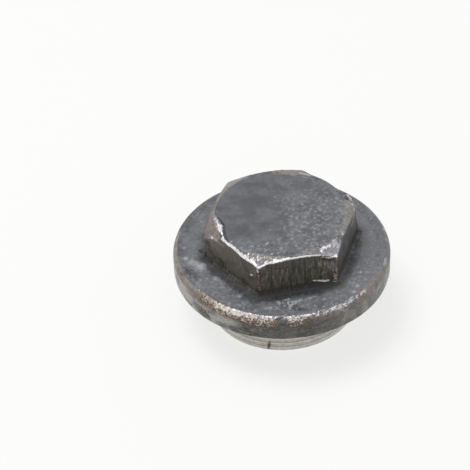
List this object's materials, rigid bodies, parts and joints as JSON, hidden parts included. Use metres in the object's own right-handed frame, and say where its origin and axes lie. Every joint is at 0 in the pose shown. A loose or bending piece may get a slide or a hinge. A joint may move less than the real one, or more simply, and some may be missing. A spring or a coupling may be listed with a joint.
{
  "type": "crankcase oil plug",
  "caption": "Screw plug with a low hexagon head, a wide round collar that seats on the crankcase, and a short hollow threaded shank that closes an oil hole.",
  "frame": {"origin": "centre of the shank's end face, on the axis of the thread", "axes": "+Z along the axis, from the end of the shank to the top of the hexagon; +X through a corner of the hexagon"},
  "size_m": [0.0384, 0.0384, 0.021],
  "materials": {
    "blackened_steel": "worn satin black oxide on steel, bare and bright on the bruised corners and the thread, with rust in the rim"
  },
  "bodies": {
    "root": {"oil_plug": "blackened_steel"}
  },
  "joints": []
}
